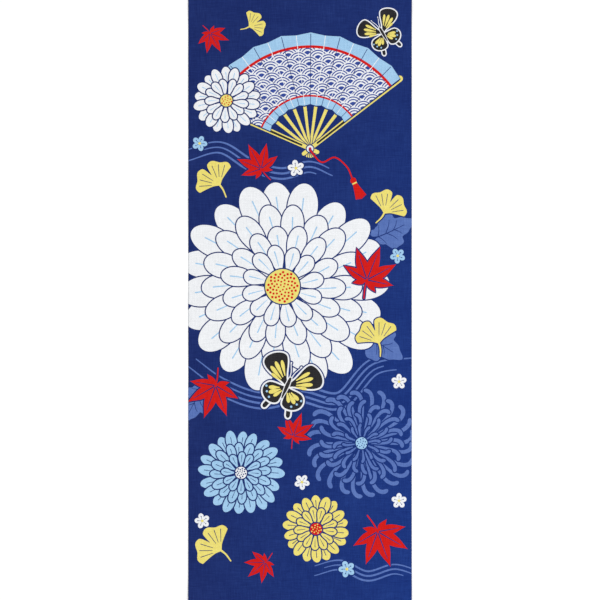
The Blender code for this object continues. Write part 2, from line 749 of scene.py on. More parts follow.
@dataclass(frozen=True)
class FoldingFan:
    """An open folding fan with its pin in the middle of its own place and its middle rib up +Y.

    reach: From the pin to the outer edge of the paper.
    bare: From the pin to the inner edge of the paper.
    tail: How far the ribs run on past the pin.
    spread: How far it is open, in degrees.
    zigzag: How far the paper's outer edge, and its inner one, is in or out at its folds.
    halo: The line of ground kept clear round each rib.
    lacquer: How far the lacquer of the guards starts from the pin, and ends from their tips.
    lines: Where each red line starts and ends, the first two as shares of the paper's outer radius
        and the others of its inner one.
    scaled: Where the wave scales start, as a share of its inner radius, and end, of its outer one.
    crease: How wide each fold line is at its inner end, and at its outer one.
    pin: The radius and dye of each disc of the pin.
    """

    reach: float = 172.0
    bare: float = 66.0
    tail: float = 12.0
    spread: float = 118.0
    pleats: int = 16
    zigzag: tuple[float, float] = (1.6, 1.0)
    rib_width: float = 5.0
    guard_width: float = 9.5
    halo: float = 1.1
    lacquer: tuple[float, float] = (14.0, 3.0)
    lacquer_width: float = 4.6
    lines: tuple[float, float, float, float] = (0.875, 0.898, 1.18, 1.22)
    scales: WaveScales = WaveScales()
    scaled: tuple[float, float] = (1.2, 0.89)
    crease: tuple[float, float] = (0.8, 1.0)
    pin: tuple[tuple[float, Dye], ...] = ((6.6, Dye.NAVY), (5.0, Dye.WHITE), (2.2, Dye.RED))

    @property
    def folds(self) -> list[np.ndarray]:
        """The direction of each fold, from the right-hand guard round to the left-hand one."""
        return [ray(90 + self.spread * (number / self.pleats - 0.5)) for number in range(self.pleats + 1)]

    def band(self, inner: float, outer: float) -> Outline:
        """A band right round the paper, between two radii."""
        return sector(inner, outer, 90 - self.spread / 2, 90 + self.spread / 2)

    def rib(self, way: np.ndarray, start: float, end: float, width: float) -> Outline:
        """One rib along a fold, from one distance from the pin to another."""
        return stroke([way * start, way * end / 2, way * end], width * 0.6, width)

    def shapes(self) -> Iterator[Shape]:
        """Draws the ribs and lacquered guards, the pleated paper over them, and the pin.

        Yields:
            Its shapes, from the lowest one up.
        """
        folds, overlap = self.folds, 2
        for way in folds[2:-1:2]:
            rib = self.rib(way, -self.tail, self.bare + overlap, self.rib_width)
            yield Shape(Dye.YELLOW, [rib], wander=FINE_KNIFE, halo=self.halo)
        tip = self.reach - overlap
        start, end = self.lacquer
        for way in (folds[0], folds[-1]):
            guard = self.rib(way, -self.tail, tip, self.guard_width)
            yield Shape(Dye.YELLOW, [guard], wander=FINE_KNIFE, halo=self.halo)
            yield Shape(Dye.CHARCOAL, [self.rib(way, start, tip - end, self.lacquer_width)])
        yield from self.paper()
        for radius, dye in self.pin:
            yield Shape(dye, [disc(radius)])

    def paper(self) -> Iterator[Shape]:
        """Draws the pleated paper, its wave scales between two red lines, and its fold lines.

        Yields:
            Its shapes, from the lowest one up.
        """
        edges = [
            [way * (radius - depth * (-1) ** number) for number, way in enumerate(self.folds)]
            for radius, depth in zip((self.reach, self.bare), self.zigzag)
        ]
        paper = np.array(edges[0] + edges[1][::-1])
        field_band = self.band(self.bare * self.scaled[0], self.reach * self.scaled[1])
        yield Shape(Dye.PALE_BLUE, [paper], halo=HALO)
        yield Shape(Dye.WHITE, [field_band])
        yield from self.scales.shapes(field_band)
        outer, inner = self.reach * np.array(self.lines[:2]), self.bare * np.array(self.lines[2:])
        yield Shape(Dye.RED, [self.band(*outer), self.band(*inner)])
        for number, way in enumerate(self.folds[1:-1]):
            crease = [way * radius for radius in (self.bare + 1, self.reach * 0.7, self.reach - 0.5)]
            dye = Dye.WHITE if number % 2 else Dye.NAVY
            yield Shape(dye, [stroke(crease, *self.crease)], within=paper)


@dataclass(frozen=True)
class TasselCord:
    """A red cord along a route, with a tassel of spreading strands on its end."""

    route: Route
    width: float = 2.4
    strands: int = 7

    def shapes(self) -> Iterator[Shape]:
        """Draws the cord, the knot, the collar and the strands.

        Yields:
            Its shapes, from the lowest one up.
        """
        yield Shape(Dye.RED, [stroke(self.route, self.width, self.width)], halo=1.0)
        last = np.subtract(self.route[-1], self.route[-2])
        end = Spot(*self.route[-1], turn=math.degrees(math.atan2(-last[0], last[1])))
        yield Shape(Dye.RED, [end.put(disc(4.6, (0, 4)))], wander=KNIFE)
        yield Shape(Dye.YELLOW, [end.put([(3.8, 10), (-3.8, 10), (-3.6, 7.2), (3.6, 7.2)])])
        sides = np.arange(self.strands) - (self.strands - 1) / 2
        strands = [
            stroke([(side * 0.95, 10), (side * 1.6, 20), (side * 2.5, 33 - abs(side) * 0.8)], 1.5, 2.4)
            for side in sides
        ]
        yield Shape(Dye.RED, [end.put(strand) for strand in strands])


@dataclass(frozen=True)
class PlumBlossom:
    """A small five-petalled blossom, about one unit in radius.

    petal: Half the width and half the length of each petal.
    out: How far out its middle is.
    """

    dye: Dye
    petals: int = 5
    petal: tuple[float, float] = (0.33, 0.38)
    out: float = 0.58

    def shapes(self) -> Iterator[Shape]:
        """Draws the petals, and the stamens round a small heart.

        Yields:
            Its shapes, from the lowest one up.
        """
        places = [Spot(turn=360 * number / self.petals) for number in range(self.petals)]
        petals = [place.put(disc(1.0) * self.petal + (0, self.out)) for place in places]
        yield Shape(self.dye, [*petals, disc(0.42)], halo=HALO)
        stamen = stroke([(0, 0.18), (0, 0.36), (0, 0.54)], 0.05, 0.05), disc(0.065, (0, 0.56))
        yield Shape(Dye.NAVY, [place.put(part) for place in places for part in stamen])
        yield Shape(Dye.YELLOW, [disc(0.17)])


@dataclass(frozen=True)
class Stream:
    """Lines of flowing water side by side along a route, each with its own start and end.

    steps: How many points the whole route has.
    ragged: Each line starts late and ends early by fewer of them than this.
    """

    route: Route
    lines: int = 3
    gap: float = 8.0
    width: float = 2.8
    dye: Dye = Dye.MID_BLUE
    steps: int = 40
    ragged: int = 7

    def shapes(self) -> Iterator[Shape]:
        """Draws the lines, each widest half way.

        Yields:
            Its shapes, from the lowest one up.
        """
        middle = curve_through(self.route, self.steps)
        for number in range(self.lines):
            lane = middle + side_of(middle) * (number - (self.lines - 1) / 2) * self.gap
            late, early = (3 * number + 1) % self.ragged, (5 * number + 2) % self.ragged
            thin, thick = self.width * 0.5, self.width * 0.6
            line = stroke(lane[late:self.steps - early], thin, thick, belly=thick)
            yield Shape(self.dye, [line], wander=FINE_KNIFE)


# The print -----------------------------------------------------------------------------------

GREAT_RINGS = (
    (20, Petal(root=40, reach=156, width=43)),
    (18, Petal(root=30, reach=122, width=35, turn=9)),
    (15, Petal(root=22, reach=91, width=28, turn=3)),
    (12, Petal(root=16, reach=62, width=22, turn=10)),
)
FULL_RINGS = (
    (20, Petal(root=16, reach=72, width=18, bend=-0.2)),
    (16, Petal(root=13, reach=52, width=14.5, bend=-0.2, turn=6)),
    (12, Petal(root=10, reach=34, width=11.5, bend=-0.2)),
)
CURLED = Petal(root=26, reach=102, width=7.2, bend=2.4, hook=5, waist=0.45, shoulder=0.93)
SPIDER_RINGS = (
    (24, CURLED),
    (20, replace(CURLED, root=22, reach=77, width=6.6, bend=-2.2, turn=6)),
    (16, replace(CURLED, root=16, reach=54, width=5.8, bend=2.0)),
    (12, replace(CURLED, root=10, reach=33, width=4.8, bend=-1.6, turn=9)),
)
SMALL_RINGS = (
    (18, Petal(root=10, reach=49, width=14.5, bend=0.15)),
    (13, Petal(root=8, reach=32, width=11, bend=0.15, turn=8)),
)


@dataclass(frozen=True)
class AutumnScatter:
    """The print: autumn flowers, leaves, a fan and butterflies scattered over a navy ground.

    seed: What the unevenness of its edges is drawn from.
    """

    seed: int = 11

    def streams(self) -> list[Motif]:
        """Draws up the flowing water behind everything else.

        Returns:
            The streams.
        """
        middle = ((-170, -92), (-120, -128), (-60, -150), (0, -140), (60, -150), (110, -100), (172, -90))
        return [
            Stream(middle, lines=4, width=3.0),
            Stream(((-172, 215), (-120, 228), (-74, 202), (-28, 189), (14, 199), (48, 186))),
            Stream(((20, -405), (60, -396), (100, -412), (140, -402), (172, -410)), gap=7, width=2.4),
        ]

    def flowers(self) -> list[tuple[Motif, list[Spot]]]:
        """Draws up the five chrysanthemums.

        Returns:
            Each one and its place.
        """
        great = Chrysanthemum(Dye.WHITE, GREAT_RINGS, Heart(26, Dye.YELLOW, Dye.RED, 60, 2.0),
                              groove_dye=Dye.PALE_BLUE, groove_width=2.0)
        spider = Chrysanthemum(Dye.MID_BLUE, SPIDER_RINGS, Heart(10, Dye.PALE_BLUE, Dye.NAVY, 14, 1.2),
                               groove_dye=None, seed=2)
        full = Chrysanthemum(Dye.PALE_BLUE, FULL_RINGS, Heart(10, Dye.WHITE, Dye.NAVY, 18), seed=3)
        yellow = Chrysanthemum(Dye.YELLOW, SMALL_RINGS, Heart(9, Dye.RED, Dye.YELLOW, 14, 1.2), seed=4)
        white = Chrysanthemum(Dye.WHITE, SMALL_RINGS, Heart(9, Dye.YELLOW, Dye.RED, 14, 1.2),
                              groove_dye=Dye.PALE_BLUE, seed=5)
        return [
            (great, [Spot(-26, 20)]),
            (spider, [Spot(92, -214, size=0.88)]),
            (full, [Spot(-88, -258, size=0.88)]),
            (yellow, [Spot(24, -342)]),
            (white, [Spot(-110, 298)]),
        ]

    def layout(self) -> list[tuple[Motif, list[Spot]]]:
        """Sets out the print, from the motifs furthest back to the ones in front.

        Returns:
            Each motif and all its places.
        """
        cord = TasselCord(((15, 224), (32, 206), (52, 213), (70, 199), (78, 182)))
        return [
            *((stream, [Spot()]) for stream in self.streams()),
            (FoldingFan(), [Spot(15, 226, 7)]),
            (cord, [Spot()]),
            (GardenLeaf(), [Spot(110, 92, -66, 48), Spot(96, -48, 235, 50), Spot(-142, -127, 150, 46)]),
            *self.flowers(),
            (GinkgoLeaf(), [
                Spot(-120, 172, 40, 36), Spot(126, 130, -28, 34), Spot(118, -64, 18, 36),
                Spot(-118, -374, 55, 38), Spot(-76, 408, -60, 24)]),
            (MapleLeaf(), [
                Spot(100, 30, -22, 54), Spot(-58, 196, 28, 42), Spot(-126, -128, 160, 52),
                Spot(-10, -203, -20, 37), Spot(116, -346, 200, 56), Spot(-52, -392, 130, 34),
                Spot(-134, 398, -150, 32)]),
            (Swallowtail(), [Spot(-20, -130, -24, 54), Spot(124, 398, 30, 38)]),
            (PlumBlossom(Dye.WHITE), [
                Spot(-6, 197, 10, 13), Spot(148, -122, 0, 12), Spot(-146, -330, 15, 12),
                Spot(3, -272, 40, 12), Spot(148, -300, 0, 12)]),
            (PlumBlossom(Dye.PALE_BLUE), [
                Spot(146, 66, 30, 12), Spot(-150, 234, 50, 12), Spot(70, -402, 20, 13)]),
        ]

    def stencil(self) -> Stencil:
        """Lays every motif at each of its places.

        Returns:
            The finished stencil.
        """
        stencil = Stencil(self.seed)
        for motif, spots in self.layout():
            for spot in spots:
                stencil.lay(motif, spot)
        return stencil


# Cutting the cloth along the edges of its print ----------------------------------------------


@dataclass(frozen=True)
class Flat:
    """The flat size of the cloth in millimetres, with its middle at (0, 0)."""

    width: float
    length: float

    @property
    def half(self) -> np.ndarray:
        """Half its width and half its length."""
        return np.array([self.width, self.length]) / 2

    def inset(self, by: float) -> "Flat":
        """The cloth without a strip of this width round its edges."""
        return Flat(self.width - 2 * by, self.length - 2 * by)

    def margins(self, places: np.ndarray) -> np.ndarray:
        """How far each place is from the nearer side, and from the nearer end."""
        return self.half - np.abs(places)


@dataclass(frozen=True)
class Facets:
    """The flat cloth as triangles of one dye each.

    places: Their corners, in millimetres.
    triangles: Three numbers of places for each triangle, anticlockwise.
    dyes: The number of each triangle's dye in the order of Dye.
    """

    places: np.ndarray
    triangles: np.ndarray
    dyes: np.ndarray

    @property
    def sides(self) -> np.ndarray:
        """The two ends of each side of each triangle, three sides for each."""
        return np.stack([self.triangles, np.roll(self.triangles, -1, 1)], 2).reshape(-1, 2)

    def edges(self) -> tuple[np.ndarray, np.ndarray]:
        """Finds the cloth's outer edges and the edges where two dyes meet.

        Returns:
            The numbers of the sides that are outer edges, which have the cloth on their left, and
            of those between two dyes.
        """
        ends = np.sort(self.sides, 1)
        order = np.lexsort(ends.T)
        twins = (ends[order[:-1]] == ends[order[1:]]).all(1)
        first, second = order[:-1][twins], order[1:][twins]
        alone = np.ones(len(ends), bool)
        alone[first] = alone[second] = False
        return np.flatnonzero(alone), first[self.dyes[first // 3] != self.dyes[second // 3]]


@dataclass(frozen=True)
class Cutter:
    """Cuts the flat of the cloth into triangles along every edge of its print.

    edge_step: How far apart the points on the cloth's own edges are.
    grid_step: How far apart the points inside are, which let the cloth follow its lie.
    edge_rows: How far in from the edges there are more rows of points.
    precision: Points closer together than this become one.
    """

    flat: Flat
    edge_step: float = 5.0
    grid_step: float = 12.0
    edge_rows: tuple[float, ...] = (1.0, 2.4, 5.0)
    precision: float = 0.001

    def ring(self, inset: float) -> Outline:
        """Sets points round the cloth, the same distance in from all its edges.

        Args:
            inset: That distance.

        Returns:
            The points.
        """
        corners = self.flat.inset(inset).half * CORNERS
        sides = []
        for start, end in zip(corners, np.roll(corners, -1, 0)):
            count = round(np.linalg.norm(end - start) / self.edge_step)
            sides.append(np.linspace(start, end, count, endpoint=False))
        return np.concatenate(sides)

    def guides(self) -> np.ndarray:
        """Sets points all over the cloth, closer together near its edges.

        Returns:
            The points.
        """
        reach = self.flat.inset(2 * self.edge_rows[-1]).half
        x, y = (np.linspace(-far, far, round(2 * far / self.grid_step) + 1) for far in reach)
        grid = np.stack(np.meshgrid(x, y), 2).reshape(-1, 2)
        return np.concatenate([grid, *map(self.ring, self.edge_rows)])

    def facets(self, stencil: Stencil, places: np.ndarray, edges: np.ndarray) -> Facets:
        """Makes triangles between points, none of which crosses an edge.

        Args:
            stencil: The print, which gives each triangle its dye.
            places: The points.
            edges: Pairs of their numbers.

        Returns:
            The triangles that lie on the cloth.
        """
        points = [Vector(place) for place in places]
        pairs = [tuple(pair) for pair in edges.tolist()]
        made, _, faces, *_ = delaunay_2d_cdt(points, pairs, [], 0, self.precision, False)
        made, faces = np.array([tuple(point) for point in made]), np.array(faces)
        middles = made[faces].mean(1)
        on_cloth = (self.flat.margins(middles) > 0).all(1)
        return Facets(made, faces[on_cloth], stencil.dyes_at(middles[on_cloth]))

    def cut(self, stencil: Stencil) -> Facets:
        """Cuts along every patch, then again along only the edges where two dyes meet.

        Args:
            stencil: The print.

        Returns:
            The cut cloth.
        """
        outlines = [self.ring(0), *(patch.outline for patch in stencil.patches)]
        edges, first = [], 0
        for outline in outlines:
            number = first + np.arange(len(outline))
            edges.append(np.stack([number, np.roll(number, -1)], 1))
            first += len(outline)
        rough = self.facets(stencil, np.concatenate(outlines), np.concatenate(edges))
        kept, numbers = np.unique(rough.sides[np.concatenate(rough.edges())], return_inverse=True)
        places = np.concatenate([rough.places[kept], self.guides()])
        return self.facets(stencil, places, numbers.reshape(-1, 2))


# Nodes ---------------------------------------------------------------------------------------


@dataclass(frozen=True)
class Link:
    """What comes out of a node. Arithmetic on it adds Math nodes to the same tree."""

    nodes: "Nodes"
    socket: bpy.types.NodeSocket

    def __add__(self, other: "Link | float") -> "Link":
        """Self plus other."""
        return self.nodes.math("ADD", self, other)

    def __sub__(self, other: "Link | float") -> "Link":
        """Self less other."""
        return self.nodes.math("SUBTRACT", self, other)

    def __rsub__(self, other: float) -> "Link":
        """Other less self."""
        return self.nodes.math("SUBTRACT", other, self)

    def __mul__(self, other: "Link | float") -> "Link":
        """Self times other."""
        return self.nodes.math("MULTIPLY", self, other)

    def __truediv__(self, other: "Link | float") -> "Link":
        """Self divided by other."""
        return self.nodes.math("DIVIDE", self, other)

    __radd__ = __add__  # sums and products are the same either way round
    __rmul__ = __mul__


@dataclass(frozen=True)
class Nodes:
    """Adds nodes to the tree of a material or of a Geometry Nodes modifier."""

    tree: bpy.types.NodeTree

    def feed(self, node: bpy.types.Node, values: dict[str | int, Any]) -> None:
        """Sets what goes into a node.

        Args:
            node: The node.
            values: For each input, by name or number, a value, a link or a list of links.
        """
        for name, value in values.items():
            for one in value if isinstance(value, list) else [value]:
                if isinstance(one, Link):
                    self.tree.links.new(one.socket, node.inputs[name])
                else:
                    node.inputs[name].default_value = one

    def add(self, kind: str, values: dict[str | int, Any] | None = None, out: str | int = 0,
            **settings: Any) -> Link:
        """Adds one node.

        Args:
            kind: Its type.
            values: What goes into its inputs.
            out: Which of its outputs to give back.
            settings: Its own settings, which are set before its inputs.

        Returns:
            The output.
        """
        node = self.tree.nodes.new(kind)
        for name, setting in settings.items():
            setattr(node, name, setting)
        self.feed(node, values or {})
        return Link(self, node.outputs[out])

    def math(self, operation: str, *values: Link | float) -> Link:
        """Adds a Math node on these values."""
        return self.add("ShaderNodeMath", dict(enumerate(values)), operation=operation)

    def noise(self, place: Link, often: float, detail: float, **settings: Any) -> Link:
        """Adds noise round 0.5 that changes so often in a metre."""
        values = {"Vector": place, "Scale": often, "Detail": detail}
        return self.add("ShaderNodeTexNoise", values, **settings)

    def vector(self, x: Link | float, y: Link | float, z: Link | float = 0.0) -> Link:
        """Joins three numbers into one vector."""
        return self.add("ShaderNodeCombineXYZ", {0: x, 1: y, 2: z})

    def part(self, axis: str, vector: Link) -> Link:
        """The X, Y or Z of a vector."""
        return self.add("ShaderNodeSeparateXYZ", {0: vector}, out=axis)

    def dyed(self, tone: Link, strength: Link | float = 1.0) -> Link:
        """Reads the colour "dye" that the mesh carries.

        Args:
            tone: What makes it lighter, above 1, or darker.
            strength: How strongly the dye took.

        Returns:
            The colour.
        """
        dye = self.add("ShaderNodeAttribute", out="Color", attribute_name="dye")
        taken = self.add("ShaderNodeGamma", {"Color": dye, "Gamma": strength})
        return self.add("ShaderNodeVectorMath", {0: taken, "Scale": tone}, operation="SCALE")

    def bump(self, height: Link, relief: float) -> Link:
        """The normal of a surface on which a height of 1 stands this many metres up."""
        return self.add("ShaderNodeBump", {"Distance": relief, "Height": height}, out="Normal")


# Finishes ------------------------------------------------------------------------------------


class Finish:
    """A material that is made from what goes into its shader."""

    def sockets(self, nodes: Nodes) -> dict[str, Any]:
        """What goes into the shader, by the names of its sockets."""
        raise NotImplementedError

    def material(self, name: str, plain: Sequence[float]) -> bpy.types.Material:
        """Makes the material.

        Args:
            name: Its name.
            plain: Its linear colour where no nodes are shown.

        Returns:
            The material.
        """
        material = bpy.data.materials.new(name)
        material.use_nodes = True
        material.diffuse_color = (*plain, 1.0)
        nodes = Nodes(material.node_tree)
        nodes.feed(material.node_tree.nodes["Principled BSDF"], self.sockets(nodes))
        return material


@dataclass(frozen=True)
class DyedCotton(Finish):
    """Matt plain-woven cotton. It reads the map "weave", in metres, and the colours "dye".

    width: The cloth's width, which says where its selvedges are.
    pitch: From one thread to the next.
    stray: How far a thread strays from its straight line, and how often in a metre.
    slub_length: How long its thick and thin places are.
    slub_step: How far apart the slubs of two threads side by side are read, so that they differ.
    slub_tone: How much lighter a thick place looks than a thin one.
    slub_dye: How much less dye a thick place takes than a thin one.
    slub_rise: How much higher a thick place stands than a thin one, as a share of the relief.
    slub_gloss: How much rougher it is.
    cloudiness: How unevenly the dye took over the cloth, and how often in a metre.
    painted_weave_shade: Painted shade between the threads: how much darker the cloth is drawn there than on
    top of them.
    weave_rise: How much lower it is there, as a share of the relief.
    painted_warp_light: Painted light, as if from one side: how much lighter a warp thread is drawn than a
    weft thread.
    fall: How steeply the thread on top falls off to its sides, and to its ends.
    fuzz: How uneven its hairs make its colour, and how often in a metre.
    relief: How high the threads stand.
    selvedge: How wide the closer weave down each side is, and the width of its ribs.
    selvedge_blend: How gradually it ends, as a share of its width.
    rib_tone: How much lighter and darker the ribs are, and how much darker they are on the whole.
    """

    width: float
    pitch: float = THREAD_PITCH * MM
    stray: tuple[float, float] = (0.00045, 240.0)
    slub_length: float = 0.02
    slub_step: float = 7.31
    slub_tone: float = 0.18
    slub_dye: float = 0.22
    slub_rise: float = 0.8
    slub_gloss: float = 0.12
    cloudiness: tuple[float, float] = (0.16, 22.0)
    painted_weave_shade: float = 0.34
    weave_rise: float = 0.7
    painted_warp_light: float = 0.04
    fall: tuple[float, float] = (1.3, 0.45)
    fuzz: tuple[float, float] = (0.16, 9000.0)
    relief: float = 0.00012
    selvedge: tuple[float, float] = (0.0016, 0.0003)
    selvedge_blend: float = 0.1
    rib_tone: tuple[float, float] = (0.07, 0.04)
    roughness: float = 0.86
    specular: float = 0.06
    sheen: tuple[float, float] = (0.06, 0.45)

    def slubs(self, nodes: Nodes, across: Link, along: Link) -> Link:
        """Finds how thick each thread of one set is, from place to place along it.

        Args:
            nodes: The material's nodes.
            across: The distance across the threads.
            along: The distance along them.

        Returns:
            About 0.5, more where the thread is thick.
        """
        own_row = nodes.math("FLOOR", across * (1 / self.pitch)) * self.slub_step
        place = nodes.vector(own_row, along * (1 / self.slub_length))
        return nodes.noise(place, 1.0, 2.0, noise_dimensions="2D")

    def weave(self, nodes: Nodes, u: Link, v: Link) -> tuple[Link, Link]:
        """Finds which thread is on top, and how high it stands.

        Args:
            nodes: The material's nodes.
            u: The distance across the cloth.
            v: The distance along it.

        Returns:
            The crossing, above 0 where the warp is on top and below it where the weft is, and the
            height, from about -0.5 in the holes between threads to about 0.5 on top of one.
        """
        waves = [nodes.math("SINE", place * (math.pi / self.pitch)) for place in (u, v)]
        crossing = waves[0] * waves[1]
        warp, weft = (nodes.math("ABSOLUTE", wave) for wave in waves)
        to_side, to_end = self.fall
        low, high = (nodes.math("POWER", one, to_side) * nodes.math("POWER", other, to_end)
                     for one, other in ((weft, warp), (warp, weft)))
        on_top = nodes.math("GREATER_THAN", crossing, 0.0)
        height = nodes.add("ShaderNodeMix", {"Factor": on_top, "A": low, "B": high})
        # Its mean comes off, from the means of powers of |sin|, so that the weave's painted shade keeps the
        # dye's tone.
        means = [math.gamma((fall + 1) / 2) / math.gamma(fall / 2 + 1) for fall in self.fall]
        return crossing, height - means[0] * means[1] / math.pi

    def ribs(self, nodes: Nodes, u: Link) -> Link:
        """Finds what the darker, ribbed band down each side adds to the tone.

        Args:
            nodes: The material's nodes.
            u: The distance from the left side.

        Returns:
            The tone, which is 0 on the rest of the cloth.
        """
        band, rib = self.selvedge
        blend = band * self.selvedge_blend
        from_side = self.width / 2 - nodes.math("ABSOLUTE", u - self.width / 2)
        within = nodes.add("ShaderNodeMapRange", {
            "Value": from_side, "From Min": band + blend, "From Max": band - blend})
        uneven, darker = self.rib_tone
        return within * (nodes.math("SINE", from_side * (2 * math.pi / rib)) * uneven - darker)

    def sockets(self, nodes: Nodes) -> dict[str, Any]:
        """Joins the threads, the dye and the hairs, with painted shade between the threads and painted
        light on the warp.

        Args:
            nodes: The material's nodes.

        Returns:
            What goes into the shader.
        """
        flat = nodes.add("ShaderNodeUVMap", uv_map="weave")
        far, often = self.stray
        drift = nodes.noise(flat, often, 1.0, out="Color")
        place = nodes.add("ShaderNodeVectorMath", {0: drift, 1: (far, far, 0), 2: flat},
                          operation="MULTIPLY_ADD")
        u, v = nodes.part("X", place), nodes.part("Y", place)
        slubs = self.slubs(nodes, u, v) + self.slubs(nodes, v, u) - 1.0
        crossing, fullness = self.weave(nodes, u, v)
        fuzz, cloud = (
            (nodes.noise(flat, often, 3.0) - 0.5) * amount
            for amount, often in (self.fuzz, self.cloudiness)
        )
        # painted shade: the cloth is drawn darker between its threads, beside the slubs' and hairs' own
        # tone
        tone = 1.0 + slubs * self.slub_tone + fullness * self.painted_weave_shade + fuzz
        # painted light: the warp threads on top are drawn lighter than the weft, as if lit from one side
        tone = tone + crossing * self.painted_warp_light + self.ribs(nodes, u)
        strength = 1.0 + cloud - slubs * self.slub_dye
        height = slubs * self.slub_rise + fullness * self.weave_rise
        return {
            "Base Color": nodes.dyed(tone, strength),
            "Roughness": slubs * self.slub_gloss + self.roughness,
            "Normal": nodes.bump(height, self.relief),
            "Specular IOR Level": self.specular,
            "Sheen Weight": self.sheen[0],
            "Sheen Roughness": self.sheen[1],
        }


@dataclass(frozen=True)
class LooseYarn(Finish):
    """Cotton yarn outside the weave, in the colours "dye" of the cloth beside it."""

    hair_tone: float = 0.5
    hair_scale: float = 7000.0
    relief: float = 0.000024
    roughness: float = 0.92
    specular: float = 0.06
    sheen: float = 0.1

    def sockets(self, nodes: Nodes) -> dict[str, Any]:
        """Makes the hairs of the yarn.

        Args:
            nodes: The material's nodes.

        Returns:
            What goes into the shader.
        """
        place = nodes.add("ShaderNodeTexCoord", out="Object")
        hair = nodes.noise(place, self.hair_scale, 3.0)
        return {
            "Base Color": nodes.dyed(1.0 + (hair - 0.5) * self.hair_tone),
            "Normal": nodes.bump(hair, self.relief),
            "Roughness": self.roughness,
            "Specular IOR Level": self.specular,
            "Sheen Weight": self.sheen,
        }


@dataclass(frozen=True)
class PalePaper(Finish):
    """The matt white paper that the cloth is laid on."""

    brightness: float = 0.94
    tooth_tone: float = 0.02
    tooth_scale: float = 900.0
    relief: float = 0.00002

    def sockets(self, nodes: Nodes) -> dict[str, Any]:
        """Makes the tooth of the paper.

        Args:
            nodes: The material's nodes.

        Returns:
            What goes into the shader.
        """
        place = nodes.add("ShaderNodeTexCoord", out="Object")
        tooth = nodes.noise(place, self.tooth_scale, 2.0)
        shade = self.brightness + (tooth - 0.5) * self.tooth_tone
        return {
            "Base Color": nodes.vector(shade, shade, shade),
            "Normal": nodes.bump(tooth, self.relief),
            "Roughness": 1.0,
            "Specular IOR Level": 0.0,
        }


# The cloth -----------------------------------------------------------------------------------


class SubAssembly:
    """A sub-assembly of the towel. All of them are cotton, and ride on the towel's one body."""

    def build(self) -> bpy.types.Object:
        """Makes its piece."""
        raise NotImplementedError

    def dress(self, piece: bpy.types.Object) -> None:
        """Sets its finished piece on the body."""
        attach(piece, "root")


def new_object(name: str, data: bpy.types.ID) -> bpy.types.Object:
    """Puts a mesh, a lamp or a camera into the scene as an object at the origin.

    Args:
        name: The object's name.
        data: The mesh, the lamp or the camera.

    Returns:
        The object.
    """
    made = bpy.data.objects.new(name, data)
    bpy.context.scene.collection.objects.link(made)
    return made


def store_colours(mesh: bpy.types.Mesh, colours: np.ndarray, domain: str) -> None:
    """Stores linear colours in the mesh's "dye", one for each POINT or each CORNER."""
    opaque = np.pad(colours, ((0, 0), (0, 1)), constant_values=1.0)
    mesh.color_attributes.new("dye", "FLOAT_COLOR", domain).data.foreach_set("color", opaque.ravel())


@dataclass(frozen=True)
class Ripple:
    """A low wave in the cloth: its height and length, which way it runs, and where it starts."""

    height: float
    length: float
    way: float
    start: float

    def at(self, places: np.ndarray) -> np.ndarray:
        """How high it is at each place, from 0 to its height."""
        along = places @ ray(self.way) / self.length + self.start
        return self.height * (0.5 + 0.5 * np.sin(2 * math.pi * along))


@dataclass(frozen=True)
class Lie:
    """How the cloth lies: flat on its surface, with a few low swells and lifted edges.

    swells: The waves all over it, of which only what stands above "pressed" is left.
    pressed: How much of the swells lies flat again under the cloth's weight.
    give: How softly the cloth comes down on the surface.
    side_calm: How far in from the long sides the swells are still low.
    corner_lifts: How high each corner stands, in the order of CORNERS.
    """

    flat: Flat
    swells: tuple[Ripple, ...] = (
        Ripple(height=1.8, length=330, way=74, start=0.15),
        Ripple(height=1.3, length=215, way=-38, start=0.62),
        Ripple(height=0.9, length=140, way=14, start=0.30),
        Ripple(height=0.4, length=78, way=104, start=0.80),
    )
    pressed: float = 2.0
    give: float = 0.3
    side_calm: float = 26.0
    end_lifts: tuple[Ripple, ...] = (
        Ripple(height=1.9, length=124, way=0, start=0.10),
        Ripple(height=0.8, length=57, way=0, start=0.55),
    )
    end_reach: float = 30.0
    side_lifts: tuple[Ripple, ...] = (
        Ripple(height=0.5, length=171, way=88, start=0.4),
        Ripple(height=0.2, length=74, way=93, start=0.2),
    )
    side_reach: float = 15.0
    corner_lifts: tuple[float, ...] = (2.2, 0.7, 1.7, 1.0)
    corner_reach: float = 34.0

    def height(self, places: np.ndarray) -> np.ndarray:
        """Finds how far the cloth's underside is off the surface.

        Args:
            places: Points on the cloth.

        Returns:
            The height at each point.
        """
        from_side, from_end = self.flat.margins(places).T
        swell = sum(ripple.at(places) for ripple in self.swells) - self.pressed
        height = (swell + np.hypot(swell, self.give)) / 2  # the swell, or softly 0 where it is below
        height *= 1 - np.exp(-((from_side / self.side_calm) ** 2))
        height += sum(lift.at(places) for lift in self.end_lifts) * np.exp(-from_end / self.end_reach)
        height += sum(lift.at(places) for lift in self.side_lifts) * np.exp(-from_side / self.side_reach)
        for lift, corner in zip(self.corner_lifts, self.flat.half * CORNERS):
            away = np.hypot(*(places - corner).T)
            height += lift * np.exp(-((away / self.corner_reach) ** 2))
        return height

    def slope(self, places: np.ndarray, step: float = 0.2) -> np.ndarray:
        """Finds the way that the cloth faces.

        Args:
            places: Points on the cloth.
            step: How far apart the heights are read.

        Returns:
            A vector at each point, not of unit length, that points up out of the cloth.
        """
        across, along = (
            self.height(places - way) - self.height(places + way)
            for way in ((step, 0), (0, step))
        )
        return np.stack([across, along, np.full(len(places), 2 * step)], 1)


